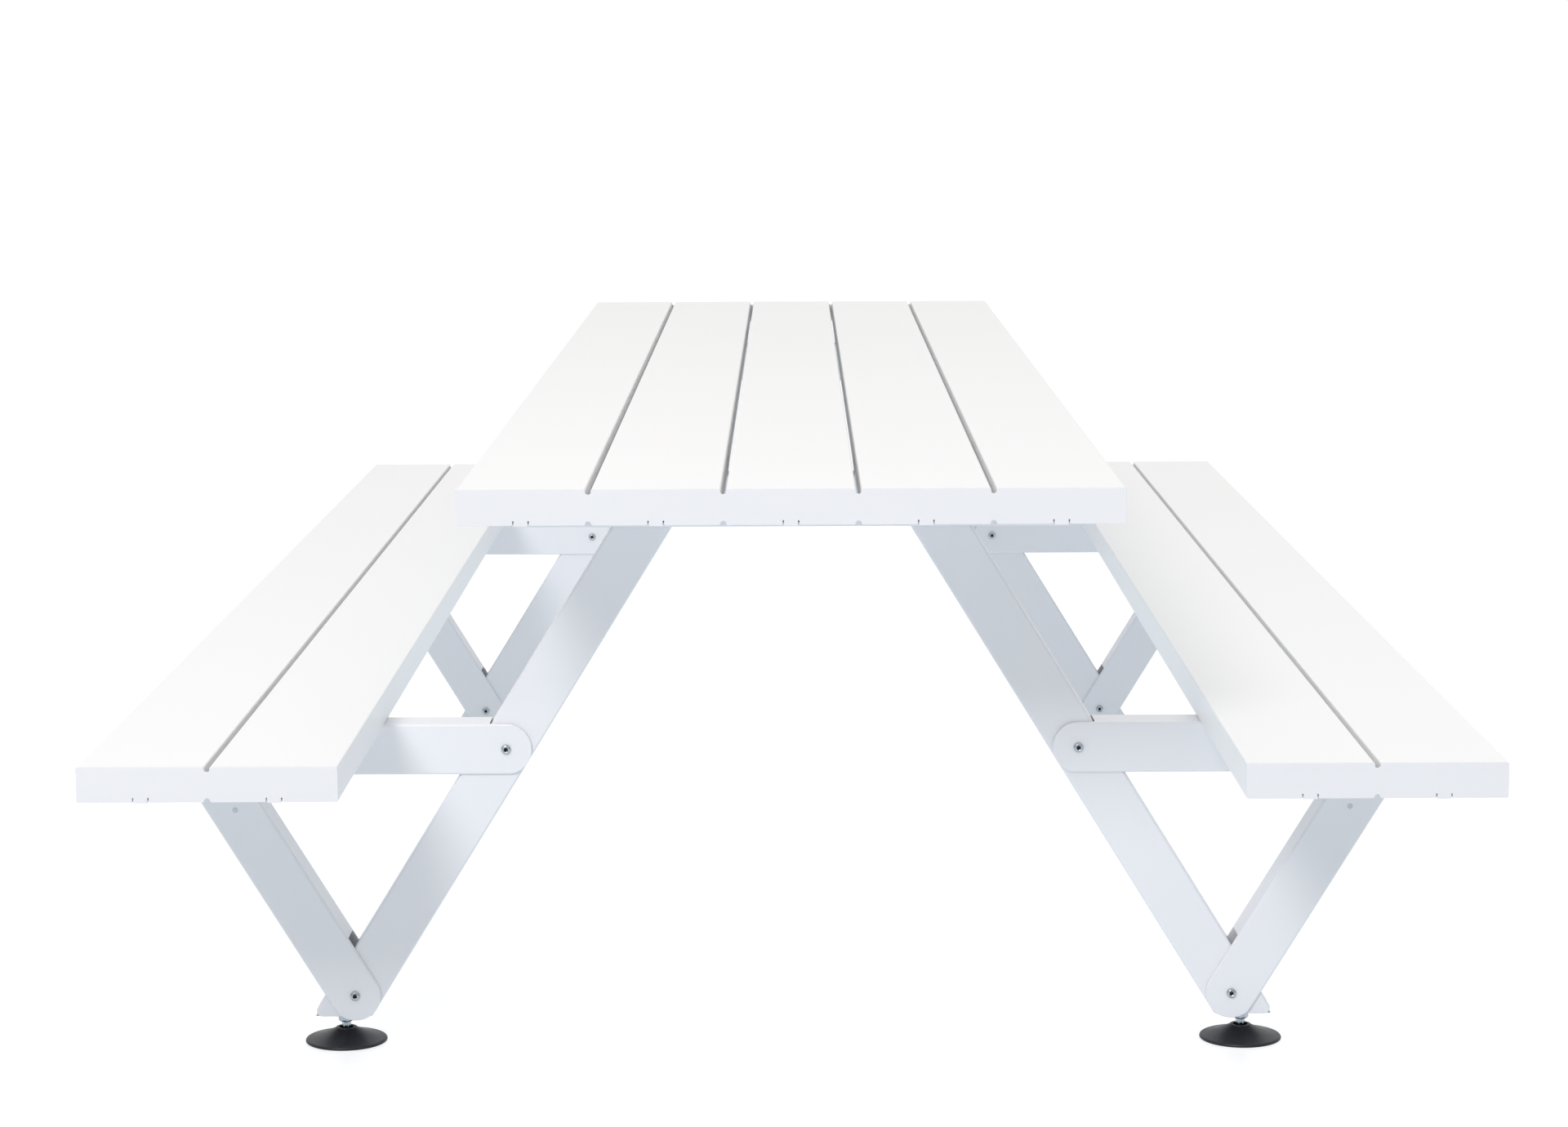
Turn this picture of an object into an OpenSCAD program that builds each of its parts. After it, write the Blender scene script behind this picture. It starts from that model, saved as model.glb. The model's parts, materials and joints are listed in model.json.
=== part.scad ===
// Picnic table: hollow aluminium planks on two pinned tube frames with levelling feet.
// Millimetres, +Z up. X runs across the table and Y along its planks.
// The origin is on the ground under the middle of the table.

/* [Overall] */
// Length over the end caps
table_l = 2870; // [2000:10:3200]
// Height of the table top
table_h = 739; // [690:1:900]
// Height of the seats
seat_h = 438; // [400:1:480]
// From each end of the table to the middle of its frame
frame_inset = 478; // [300:5:600]
// From the middle of the table to the inner edge of a bench
bench_inner_x = 492; // [480:1:620]

/* [Planks] */
// Width of one plank
plank_w = 139; // [116:1:167]
// Thickness of one plank
plank_t = 39; // [33:1:48]
// Gap between two planks
plank_gap = 6; // [4:1:10]
// Wall of the plank extrusion
plank_wall = 2.4; // [1.8:0.1:3]
// Radius of the plank's long edges
plank_r = 2; // [1:0.5:4]
// Width of the slot mouth under each plank
slot_mouth = 10; // [9:0.5:12]
// Width of the channel behind the slot mouth
slot_w = 17; // [16:0.5:22]
// Height of that channel
slot_h = 6; // [5:0.5:8]

/* [End caps] */
// Thickness of the cap's face plate
cap_t = 4; // [3:0.5:8]
// How far the cap's spigots reach into a plank
spigot_l = 22; // [15:1:40]
// Wall of a spigot
spigot_wall = 2; // [1.5:0.5:3]
// Depth of the notch over each gap
notch_top = 6; // [4:0.5:9]
// Depth of the notch under each gap
notch_bottom = 4.5; // [4:0.5:9]
// Width of a relief slit beside the snap tongue
slit_w = 1.4; // [1:0.2:2.4]
// Height of a relief slit
slit_h = 5; // [3.5:0.5:7]

/* [Frame tubes] */
// Height of every frame tube, seen from the end of the table
tube_h = 62; // [51:1:70]
// Depth of the crossbar, arm and strut tubes
tube_d = 50; // [42:1:60]
// Wall of the crossbar, arm and strut tubes
tube_wall = 4; // [3:0.5:5]
// Wall of the leg tubes
leg_wall = 3; // [2.5:0.5:4]
// Radius of the tubes' long edges
tube_r = 3; // [1:0.5:5]
// From the side of the table to the end of a crossbar
crossbar_inset = 28; // [8:1:50]
// From the middle of the table to the leg's centre line, at the crossbar's middle height
leg_top_x = 160; // [130:1:190]
// From the middle of the table to the foot bolts
foot_x = 534.5; // [500:0.5:600]
// Height of the foot bolts
foot_z = 62.5; // [60:0.5:75]
// From a bench's outer edge to the ends of its arms
bench_overhang = 16; // [4:1:40]
// Room in the arm between the strut head and the end plug
arm_overrun = 5; // [2:1:20]
// Height of the legs' flat lower ends
leg_base_z = 35.5; // [34:0.5:44]
// Radius of the corners at a leg's lower end
leg_corner_r = 7; // [3:0.5:9]

/* [Clevis ends] */
// Air between a leg and the short side of a clevis
clevis_clear_short = 2; // [1:0.5:6]
// Air between a leg and the long side of a clevis
clevis_clear_long = 14; // [4:1:20]
// How far a strut head's plug reaches into its strut
strut_plug_l = 48; // [30:1:70]

/* [Fasteners] */
// Diameter of the frame bolts
bolt_d = 8; // [6:1:10]
// Diameter of their heads
bolt_head_d = 12; // [11:0.5:16]
// Height of their heads
bolt_head_h = 4; // [3:0.5:6]
// Diameter of the flat crown of the heads
bolt_crown_d = 8.4; // [7:0.1:9]
// Width across flats of the hexagon socket
bolt_socket = 5; // [4:0.5:6]
// Outer diameter of the sleeves that the bolts pass through in the legs
sleeve_d = 14; // [12:0.5:18]
// Width across flats of the lock nuts
nut_flats = 13; // [13:0.5:17]
// Height of the lock nuts
nut_h = 8; // [6:0.5:10]
// From the middle of a leg to each of its two crossbar bolts
leg_bolt_x = 15; // [13:0.5:18]
// Diameter of the plank screws
screw_d = 8; // [6:0.5:9]
// Diameter of the plank screw heads
screw_head_d = 13; // [12:0.5:15]
// Height of the plank screw heads
screw_head_h = 5; // [3:0.5:6]

/* [Levelling feet] */
// Diameter of a foot pad
pad_d = 100; // [80:1:120]
// Height of a foot pad
pad_h = 17.5; // [17:0.5:20]
// Thickness of the pad's rim
pad_rim_h = 4; // [3:0.5:5]
// Radius of the top of the pad's cone
pad_neck_r = 12; // [11:0.5:16]
// Diameter of the threaded stud
stud_d = 10; // [8:0.5:11]
// Width across flats of the stud's hexagon
stud_flats = 10; // [8:0.5:11]
// Radius of the ball on the stud
ball_r = 6; // [5.7:0.1:6.3]
// How far each foot screws out from rest
foot_travel = 20; // [5:1:22]
// Width across flats of the lock nut on the stud
foot_nut_flats = 17; // [16:0.5:19]
// Height of that lock nut
foot_nut_h = 8; // [5:0.5:8]
// Diameter of the threaded bush's flange
bush_flange_d = 19; // [17:0.5:22]
// Thickness of that flange
bush_flange_t = 2; // [1.5:0.5:3]

/* [Fits] */
// Gap on each side between pieces that slide together once, at assembly
fit_gap = 0.25; // [0.1:0.05:0.5]
// Radial gap round bolts, sleeves and threads
hole_gap = 0.05; // [0.02:0.01:0.1]
// Radial gap where a screw or stud passes loosely through a wall
loose_gap = 0.1; // [0.05:0.05:0.5]
// Radial gap between the ball and its socket
ball_gap = 0.1; // [0.05:0.01:0.2]
// Air round a tube that passes through a slot in another
slot_gap = 2; // [1:0.5:4]
// Air between the plank screws' heads and what is under them
head_gap = 3; // [2:0.5:8]
// Air between the studs and the legs' slanting inner walls
stud_gap = 2.5; // [1.5:0.5:4]

/* [Hidden] */
$fn = 48;
eps = 1;                       // how far a cut runs past the face it opens
access_gap = 1.5;
screw_socket = 6;              // across the flats of a plank screw's hexagon socket
table_planks = 5;
bench_planks = 2;
pitch = plank_w + plank_gap;
plank_l = table_l - 2 * cap_t;
table_w = table_planks * plank_w + (table_planks - 1) * plank_gap;
bench_w = bench_planks * plank_w + (bench_planks - 1) * plank_gap;
table_z = table_h - plank_t / 2;
bench_z = seat_h - plank_t / 2;
bench_x = bench_inner_x + bench_w / 2;
frame_y = table_l / 2 - frame_inset;

// Heights of the tubes' middles, and the leg and strut lines through the bolts
crossbar_z = table_h - plank_t - tube_h / 2;
arm_z = seat_h - plank_t - tube_h / 2;
leg_tilt = atan2(foot_x - leg_top_x, crossbar_z - foot_z);
arm_pivot_x = leg_top_x + (crossbar_z - arm_z) * tan(leg_tilt);
arm_end_x = bench_inner_x + bench_w - bench_overhang;
plug_l = 16;
strut_head_r = tube_h / 2 - tube_wall - screw_head_h - head_gap;
strut_top_x = arm_end_x - plug_l - arm_overrun - strut_head_r;
strut_tilt = atan2(strut_top_x - foot_x, arm_z - foot_z);
leg_l = (crossbar_z - foot_z) / cos(leg_tilt);
strut_l = (arm_z - foot_z) / cos(strut_tilt);

// Inside sizes of the outer tubes, and what fits between their walls
inner_d = tube_d - 2 * tube_wall;
inner_h = tube_h - 2 * tube_wall;
leg_d = inner_d - 2 * fit_gap;
leg_top_z = crossbar_z + inner_h / 2 - screw_head_h - 2 * head_gap;
leg_bolt_drop = 7.75;
leg_bolt_z = crossbar_z - leg_bolt_drop;
plug_flange_t = 3;
crossbar_l = table_w - 2 * crossbar_inset;
arm_l = arm_end_x - arm_pivot_x;
strut_end_gap = 1;             // between a strut's upper end and the arm over it
strut_end_z = arm_z - tube_h / 2 - strut_end_gap;
plug_end = (tube_h / 2 + strut_end_gap) / cos(strut_tilt) + tube_h / 2 * tan(strut_tilt) + strut_plug_l;
pin_inset = 18;
pin_x = plug_end - pin_inset;  // from the strut's upper bolt to the pin

// Where a leg's face crosses a wall of the tube that straddles it, measured from the bolt
function leg_face(angle, side) = tube_h / 2 / cos(angle) + side * tube_h / 2 * tan(angle);
// Middle of a leg at a height
function leg_mid_x(z) = leg_top_x + (crossbar_z - z) * tan(leg_tilt);
leg_bolt_xs = [for (s = [-1, 1]) leg_mid_x(leg_bolt_z) + s * leg_bolt_x];
leg_slot_x = leg_mid_x(crossbar_z - tube_h / 2);
leg_slot_w = tube_h / cos(leg_tilt) + 2 * slot_gap;
function beside_leg(x) = abs(abs(x) - leg_slot_x) > (leg_slot_w + access_d) / 2 + tube_wall;
function beside_strut(x) = abs(x - strut_top_x) > tube_h / 2 + access_d;

// Channel under each plank
lip = plank_wall;
slot_floor = -plank_t / 2 + lip;
chamber_w = plank_w / 2 - slot_w / 2 - 2 * plank_wall;
chamber_x = (slot_w + plank_w) / 4;
chamber_h = plank_t - 2 * plank_wall;
tongue_w = slot_w - slit_w - 2 * fit_gap;
tongue_t = 2.5;
tongue_drop = 0.8;             // the tongue's end stands this far below the cap
slot_nut_l = 20;
slot_nut_drop = 1.5;           // between a slot nut and the top of its channel
slot_nut_t = slot_h - slot_nut_drop;
access_d = screw_head_d + 2 * access_gap;   // hole that lets the screw and its key in

// Levelling foot, from the ground up
foot_cover = 24;               // insert above the stud's tip
stud_x = foot_x + sleeve_d / 2 + stud_d / 2 + stud_gap;
leg_inner_half = (tube_h / 2 - leg_wall) / cos(leg_tilt);
stud_top_z = foot_z + (foot_x + leg_inner_half - stud_x - stud_d / 2 - stud_gap) / tan(leg_tilt);
ball_z = pad_h / 2;
retainer_z = ball_z + ball_r / 2;
retainer_lip = 0.4;            // how far the retainer reaches over the ball
retainer_r = sqrt(ball_r * ball_r * 3 / 4) - retainer_lip;
retainer_t = 2;
recess_r = 9;
neck_r = 3.5;
pad_edge = 1;                  // chamfer on the pad's rim
bush_base_z = leg_base_z - bush_flange_t;
foot_nut_z = bush_base_z - foot_nut_h;
hex_gap = 0.5;                 // between the stud's hexagon and the lock nut over it
hex_h = foot_nut_z - hex_gap - pad_h;
bush_wall = 2;
bush_d = stud_d + 2 * bush_wall;
bush_l = stud_top_z - leg_base_z - foot_travel;     // the stud still fills it, screwed right out
tip_gap = 1;                   // over the stud's tip, in the insert
insert_top_z = stud_top_z + foot_cover;
pin_d = 6;

// Foot pad's flare: a hollow curve from the rim to the neck, as a quarter ellipse
flare_steps = 10;
pad_flare = [for (i = [0:flare_steps])
    let (a = 90 * i / flare_steps)
    [pad_d / 2 - 2 * pad_edge - (pad_d / 2 - 2 * pad_edge - pad_neck_r) * sin(a),
     pad_rim_h + (pad_h - pad_rim_h) * (1 - cos(a))]];

sides = [-1, 1];
table_xs = [for (i = [0:table_planks - 1]) (i - (table_planks - 1) / 2) * pitch];
bench_xs = [for (i = [0:bench_planks - 1]) bench_inner_x + plank_w / 2 + i * pitch];

// ---- Shared shapes ----

module rounded_rect(w, h, r) {
    square([w - 2 * r, h], center = true);
    square([w, h - 2 * r], center = true);
    for (x = sides, y = sides)
        translate([x * (w / 2 - r), y * (h / 2 - r)]) circle(r);
}

// Bar along X with rounded long edges, its middle line on the X axis
module bar_x(x0, x1, d, h, r) {
    translate([x0, 0, 0]) rotate([90, 0, 90]) linear_extrude(height = x1 - x0) rounded_rect(d, h, r);
}

// Plain box along X, for the insides of tubes
module void_x(x0, x1, d, h) {
    translate([x0, -d / 2, -h / 2]) cube([x1 - x0, d, h]);
}

// An outline drawn in X and Z, given a depth along Y about its middle
module slab_y(d) {
    rotate([90, 0, 0]) linear_extrude(height = d, center = true) children();
}

// Rod along Y, centred
module rod_y(d, l) {
    rotate([90, 0, 0]) cylinder(d = d, h = l, center = true);
}

// Right-hand pieces are drawn at +X, and left-hand ones are their mirror image
module at_corner(side, end) {
    mirror([side < 0 ? 1 : 0, 0, 0]) translate([0, end * frame_y, 0]) children();
}

module at_all_corners() {
    for (side = sides, end = sides) at_corner(side, end) children();
}

// ---- Planks and end caps ----

module plank_profile() {
    difference() {
        rounded_rect(plank_w, plank_t, plank_r);
        for (x = sides)
            translate([x * chamber_x, 0]) square([chamber_w, chamber_h], center = true);
        translate([-slot_w / 2, slot_floor + slot_h + plank_wall])
            square([slot_w, plank_t / 2 - plank_wall - (slot_floor + slot_h + plank_wall)]);
        translate([-slot_w / 2, slot_floor]) square([slot_w, slot_h]);
        translate([-slot_mouth / 2, -plank_t / 2 - eps]) square([slot_mouth, lip + 2 * eps]);
    }
}

module plank(x, z) {
    color("white") translate([x, 0, z]) slab_y(plank_l) plank_profile();
}

module cap_outline(count) {
    for (i = [0:count - 1]) translate([(i - (count - 1) / 2) * pitch, 0]) difference() {
        union() {
            rounded_rect(plank_w, plank_t, plank_r);
            translate([-tongue_w / 2, -plank_t / 2 - tongue_drop]) square([tongue_w, plank_t / 2]);
        }
        for (x = sides)
            translate([x * (tongue_w + slit_w) / 2, -plank_t / 2 + slit_h / 2 - eps])
                square([slit_w, slit_h + 2 * eps], center = true);
    }
    for (i = [0:count - 2]) translate([(i - (count - 2) / 2) * pitch, 0]) cap_bridge();
}

// Web between two planks, hollowed where the notches end
module cap_bridge() {
    top = plank_t / 2 - notch_top + plank_gap / 2;
    bottom = -plank_t / 2 + notch_bottom - plank_gap / 2;
    difference() {
        translate([-plank_gap / 2 - eps, bottom]) square([plank_gap + 2 * eps, top - bottom]);
        translate([0, top]) circle(d = plank_gap);
        translate([0, bottom]) circle(d = plank_gap);
        for (x = sides, z = [top, bottom])
            translate([x * (plank_gap / 2 + eps), z]) square([2 * eps, 2 * eps], center = true);
    }
}

// Cap for a row of planks, its outer face at the end of the table
module end_cap(count, x, z, end) {
    spigot_w = chamber_w - 2 * fit_gap;
    spigot_h = chamber_h - 2 * fit_gap;
    color("whitesmoke") mirror([0, end > 0 ? 1 : 0, 0]) translate([x, -table_l / 2, z]) {
        translate([0, cap_t / 2, 0]) slab_y(cap_t) cap_outline(count);
        for (i = [0:count - 1]) translate([(i - (count - 1) / 2) * pitch, cap_t, 0]) {
            for (s = sides) translate([s * chamber_x, spigot_l / 2, 0])
                slab_y(spigot_l) difference() {
                    square([spigot_w, spigot_h], center = true);
                    square([spigot_w - 2 * spigot_wall, spigot_h - 2 * spigot_wall], center = true);
                }
            translate([-tongue_w / 2, 0, slot_floor + fit_gap]) cube([tongue_w, spigot_l, tongue_t]);
        }
    }
}

// ---- Frame tubes ----

module bolt_hole() {
    rod_y(bolt_d + 2 * hole_gap, 2 * tube_d);
}

// Holes in the top wall for a plank's screw, and in the bottom wall for its key
module screw_holes(x, with_access) {
    translate([x, 0, 0]) cylinder(d = screw_d + 2 * loose_gap, h = tube_h);
    if (with_access) translate([x, 0, -tube_h]) cylinder(d = access_d, h = tube_h);
}

// The crossbar carries the table planks and straddles the tops of both legs
module crossbar(end) {
    color("gainsboro") translate([0, end * frame_y, crossbar_z]) difference() {
        bar_x(-crossbar_l / 2, crossbar_l / 2, tube_d, tube_h, tube_r);
        slab_y(inner_d) {
            square([crossbar_l + 2 * eps, inner_h], center = true);
            for (side = sides) mirror([side < 0 ? 1 : 0, 0]) translate([leg_top_x, 0]) rotate(leg_tilt)
                translate([0, -tube_h / 2]) square([tube_h + 2 * slot_gap, tube_h], center = true);
        }
        for (x = table_xs) screw_holes(x, beside_leg(x));
        for (side = sides, x = leg_bolt_xs) translate([side * x, 0, leg_bolt_z - crossbar_z]) bolt_hole();
    }
}

// Outer tube with round ears about a bolt at the origin; its walls stop clear of the leg
module clevis_tube(length, angle, short_side) {
    short_x = leg_face(angle, -1) + clevis_clear_short;
    long_x = leg_face(angle, 1) + clevis_clear_long;
    middle_x = (short_x + long_x) / 2;
    slope = short_side * (long_x - short_x) / tube_h;
    difference() {
        intersection() {
            bar_x(-tube_h, length, tube_d, tube_h, tube_r);
            slab_y(tube_d + 2 * eps) {
                circle(d = tube_h);
                translate([0, -tube_h / 2 - eps]) square([length + eps, tube_h + 2 * eps]);
            }
        }
        void_x(-tube_h, length + eps, inner_d, inner_h);
        slab_y(inner_d) polygon([
            [-tube_h, -tube_h], [middle_x + slope * tube_h, -tube_h],
            [middle_x - slope * tube_h, tube_h], [-tube_h, tube_h]
        ]);
        bolt_hole();
    }
}

module leg_outline() {
    half = tube_h / 2 / cos(leg_tilt) + fit_gap;
    r = leg_corner_r;
    acute = (90 - leg_tilt) / 2;
    obtuse = (90 + leg_tilt) / 2;
    out = leg_mid_x(leg_base_z) + half;
    inn = leg_mid_x(leg_base_z) - half;
    rise = r / tan(acute);
    sink = r / tan(obtuse);
    polygon([
        [inn + sink, leg_base_z], [out - rise, leg_base_z],
        [out - rise * sin(leg_tilt), leg_base_z + rise * cos(leg_tilt)],
        [leg_mid_x(leg_top_z) + half, leg_top_z], [leg_mid_x(leg_top_z) - half, leg_top_z],
        [inn - sink * sin(leg_tilt), leg_base_z + sink * cos(leg_tilt)]
    ]);
    translate([out - rise, leg_base_z + r]) circle(r);
    translate([inn + sink, leg_base_z + r]) circle(r);
}

// Places children on the leg's middle line, +X running down it from the crossbar's middle height
module on_leg() {
    translate([leg_top_x, 0, crossbar_z]) rotate([0, 90 - leg_tilt, 0]) children();
}

module leg(side, end) {
    color("lightgray") at_corner(side, end) difference() {
        intersection() {
            on_leg() bar_x(-tube_h, leg_l + 2 * tube_h, leg_d, tube_h, tube_r);
            slab_y(tube_d) leg_outline();
        }
        on_leg() void_x(-2 * tube_h, leg_l + 3 * tube_h, leg_d - 2 * leg_wall, tube_h - 2 * leg_wall);
        for (x = leg_bolt_xs) translate([x, 0, leg_bolt_z]) sleeve_hole();
        translate([arm_pivot_x, 0, arm_z]) sleeve_hole();
        translate([foot_x, 0, foot_z]) sleeve_hole();
    }
}

module sleeve_hole() {
    rod_y(sleeve_d + 2 * hole_gap, 2 * tube_d);
}

// Bench arm: ears over the leg at one end, slotted underneath for the strut head
module arm(side, end) {
    color("gainsboro") at_corner(side, end) difference() {
        translate([arm_pivot_x, 0, arm_z]) clevis_tube(arm_l, leg_tilt, 1);
        translate([0, 0, arm_z]) for (x = bench_xs) screw_holes(x, beside_strut(x));
        translate([strut_top_x, 0, arm_z]) {
            bolt_hole();
            rotate([0, 90 + strut_tilt, 0]) void_x(0, tube_h, inner_d, 2 * (strut_head_r + slot_gap));
        }
    }
}

// Strut: ears over the leg at the foot, cut level under the arm at the top
module strut(side, end) {
    color("gainsboro") at_corner(side, end) difference() {
        translate([foot_x, 0, foot_z]) rotate([0, strut_tilt - 90, 0])
            clevis_tube(strut_l, 90 - leg_tilt - strut_tilt, -1);
        translate([foot_x, -tube_d, strut_end_z]) cube([tube_d + strut_l, 2 * tube_d, strut_l]);
        on_strut_top() translate([pin_x, 0, 0]) rod_y(pin_d + 2 * hole_gap, 2 * tube_d);
    }
}

// Places children at the strut's upper bolt, +X running down the strut
module on_strut_top() {
    translate([strut_top_x, 0, arm_z]) rotate([0, 90 + strut_tilt, 0]) children();
}

// Cast block: a plug in the strut's upper end, and a round tongue that goes up into the arm
module strut_head(side, end) {
    head_d = inner_d - 2 * fit_gap;
    color("silver") at_corner(side, end) difference() {
        union() {
            on_strut_top() slab_y(head_d) {
                circle(r = strut_head_r);
                translate([0, -strut_head_r]) square([plug_end, 2 * strut_head_r]);
            }
            intersection() {
                on_strut_top() void_x(0, plug_end, head_d, inner_h - 2 * fit_gap);
                translate([0, -tube_d, 0]) cube([2 * strut_top_x, 2 * tube_d, strut_end_z]);
            }
        }
        on_strut_top() {
            bolt_hole();
            translate([pin_x, 0, 0]) rod_y(pin_d + 2 * hole_gap, 2 * tube_d);
        }
    }
}

module strut_head_pins() {
    color("silver") at_all_corners() on_strut_top() translate([pin_x, 0, 0]) rod_y(pin_d, tube_d);
}

// Plug for an open tube end that faces +X at the origin
module tube_plug() {
    bar_x(0, plug_flange_t, tube_d, tube_h, tube_r);
    difference() {
        void_x(-plug_l, 0, inner_d - 2 * fit_gap, inner_h - 2 * fit_gap);
        void_x(-plug_l - eps, -plug_flange_t, inner_d - 2 * plug_flange_t, inner_h - 2 * plug_flange_t);
    }
}

module crossbar_plugs() {
    color("whitesmoke") at_all_corners() translate([crossbar_l / 2, 0, crossbar_z]) tube_plug();
}

module arm_plugs() {
    color("whitesmoke") at_all_corners() translate([arm_end_x, 0, arm_z]) tube_plug();
}

// ---- Fasteners ----

// Bolt across a frame tube, its head on the side that faces -Y
module frame_bolt() {
    difference() {
        union() {
            translate([0, nut_h / 2, 0]) rod_y(bolt_d, tube_d + nut_h);
            translate([0, -tube_d / 2, 0]) rotate([90, 0, 0])
                cylinder(d1 = bolt_head_d, d2 = bolt_crown_d, h = bolt_head_h);
        }
        translate([0, -tube_d / 2 - bolt_head_h - eps, 0]) rotate([-90, 0, 0])
            cylinder(d = bolt_socket / cos(30), h = bolt_head_h / 2 + eps, $fn = 6);
    }
}

module frame_nut() {
    translate([0, tube_d / 2, 0]) rotate([-90, 0, 0]) difference() {
        cylinder(d = nut_flats / cos(30), h = nut_h, $fn = 6);
        translate([0, 0, -eps]) cylinder(d = bolt_d + 2 * hole_gap, h = nut_h + 2 * eps);
    }
}

module sleeve() {
    difference() {
        rod_y(sleeve_d, inner_d);
        rod_y(bolt_d + 2 * hole_gap, tube_d);
    }
}

module at_crossbar_bolts() {
    for (x = leg_bolt_xs) translate([x, 0, leg_bolt_z]) children();
}

module crossbar_bolts() {
    color("silver") at_all_corners() at_crossbar_bolts() frame_bolt();
}

module arm_bolts() {
    color("silver") at_all_corners() translate([arm_pivot_x, 0, arm_z]) frame_bolt();
}

module foot_bolts() {
    color("silver") at_all_corners() translate([foot_x, 0, foot_z]) frame_bolt();
}

module strut_bolts() {
    color("silver") at_all_corners() translate([strut_top_x, 0, arm_z]) frame_bolt();
}

module lock_nuts() {
    color("silver") at_all_corners() {
        at_crossbar_bolts() frame_nut();
        translate([arm_pivot_x, 0, arm_z]) frame_nut();
        translate([foot_x, 0, foot_z]) frame_nut();
        translate([strut_top_x, 0, arm_z]) frame_nut();
    }
}

module bolt_sleeves() {
    color("silver") at_all_corners() {
        at_crossbar_bolts() sleeve();
        translate([arm_pivot_x, 0, arm_z]) sleeve();
        translate([foot_x, 0, foot_z]) sleeve();
    }
}

// Places children under every plank at every frame, the origin on the plank's underside
module at_plank_screws() {
    for (end = sides) {
        for (x = table_xs) translate([x, end * frame_y, table_h - plank_t]) children();
        for (x = bench_xs, side = sides)
            translate([side * x, end * frame_y, seat_h - plank_t]) children();
    }
}

module plank_screws() {
    color("silver") at_plank_screws() difference() {
        union() {
            translate([0, 0, -tube_wall]) cylinder(d = screw_d, h = tube_wall + lip + slot_nut_t);
            translate([0, 0, -tube_wall - screw_head_h]) cylinder(d = screw_head_d, h = screw_head_h);
        }
        translate([0, 0, -tube_wall - screw_head_h - eps])
            cylinder(d = screw_socket / cos(30), h = screw_head_h / 2 + eps, $fn = 6);
    }
}

module slot_nuts() {
    color("silver") at_plank_screws() difference() {
        translate([-slot_w / 2 + 2 * fit_gap, -slot_nut_l / 2, lip])
            cube([slot_w - 4 * fit_gap, slot_nut_l, slot_nut_t]);
        cylinder(d = screw_d + 2 * hole_gap, h = plank_t);
    }
}

// ---- Levelling feet ----

// Block in a leg's lower end, round its sleeve and the threaded bush
module foot_insert(side, end) {
    block_d = leg_d - 2 * leg_wall - 2 * fit_gap;
    color("dimgray") at_corner(side, end) difference() {
        intersection() {
            on_leg() void_x(0, leg_l + 2 * tube_h, block_d, tube_h - 2 * leg_wall - 2 * fit_gap);
            translate([0, -tube_d, leg_base_z]) cube([2 * foot_x, 2 * tube_d, insert_top_z - leg_base_z]);
        }
        translate([foot_x, 0, foot_z]) sleeve_hole();
        translate([stud_x, 0, leg_base_z - eps]) cylinder(d = bush_d, h = bush_l + eps);
        translate([stud_x, 0, leg_base_z])
            cylinder(d = stud_d + 2 * loose_gap, h = stud_top_z - leg_base_z + tip_gap);
    }
}

module foot_bushes() {
    color("silver") at_all_corners() translate([stud_x, 0, 0]) difference() {
        union() {
            translate([0, 0, bush_base_z]) cylinder(d = bush_flange_d, h = bush_flange_t);
            translate([0, 0, leg_base_z]) cylinder(d = bush_d, h = bush_l);
        }
        translate([0, 0, bush_base_z - eps])
            cylinder(d = stud_d + 2 * hole_gap, h = bush_flange_t + bush_l + 2 * eps);
    }
}

// Nuts on the studs, run up against the bushes once the table stands level
module foot_lock_nuts() {
    color("silver") at_all_corners() translate([stud_x, 0, foot_nut_z]) difference() {
        cylinder(d = foot_nut_flats / cos(30), h = foot_nut_h, $fn = 6);
        translate([0, 0, -eps]) cylinder(d = stud_d + 2 * hole_gap, h = foot_nut_h + 2 * eps);
    }
}

module stud(side, end) {
    color("silver") at_corner(side, end) translate([stud_x, 0, 0]) {
        translate([0, 0, ball_z]) sphere(r = ball_r);
        translate([0, 0, ball_z]) cylinder(r = neck_r, h = pad_h - ball_z + eps);
        translate([0, 0, pad_h]) cylinder(d = stud_flats / cos(30), h = hex_h, $fn = 6);
        translate([0, 0, pad_h + hex_h - eps]) cylinder(d = stud_d, h = stud_top_z - pad_h - hex_h + eps);
    }
}

module pad_profile() {
    difference() {
        polygon(concat(
            [[0, 0], [pad_d / 2 - pad_edge, 0], [pad_d / 2, pad_edge], [pad_d / 2, pad_rim_h - pad_edge]],
            pad_flare, [[0, pad_h]]
        ));
        translate([0, ball_z]) circle(r = ball_r + ball_gap);
        translate([0, ball_z]) square([retainer_r, pad_h]);
        translate([0, retainer_z + retainer_t]) square([recess_r, pad_h]);
    }
}

module pad(side, end) {
    color("#1c1c1e") at_corner(side, end) translate([stud_x, 0, 0]) rotate_extrude() pad_profile();
}

plank(table_xs[0], table_z);  // table_plank_1
plank(table_xs[1], table_z);  // table_plank_2
plank(table_xs[2], table_z);  // table_plank_3
plank(table_xs[3], table_z);  // table_plank_4
plank(table_xs[4], table_z);  // table_plank_5
plank(-bench_xs[0], bench_z);  // left_bench_plank_inner
plank(-bench_xs[1], bench_z);  // left_bench_plank_outer
plank(bench_xs[0], bench_z);  // right_bench_plank_inner
plank(bench_xs[1], bench_z);  // right_bench_plank_outer
end_cap(table_planks, 0, table_z, -1);  // table_cap_front
end_cap(table_planks, 0, table_z, 1);  // table_cap_rear
end_cap(bench_planks, -bench_x, bench_z, -1);  // left_bench_cap_front
end_cap(bench_planks, -bench_x, bench_z, 1);  // left_bench_cap_rear
end_cap(bench_planks, bench_x, bench_z, -1);  // right_bench_cap_front
end_cap(bench_planks, bench_x, bench_z, 1);  // right_bench_cap_rear
crossbar(-1);  // front_crossbar
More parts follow.
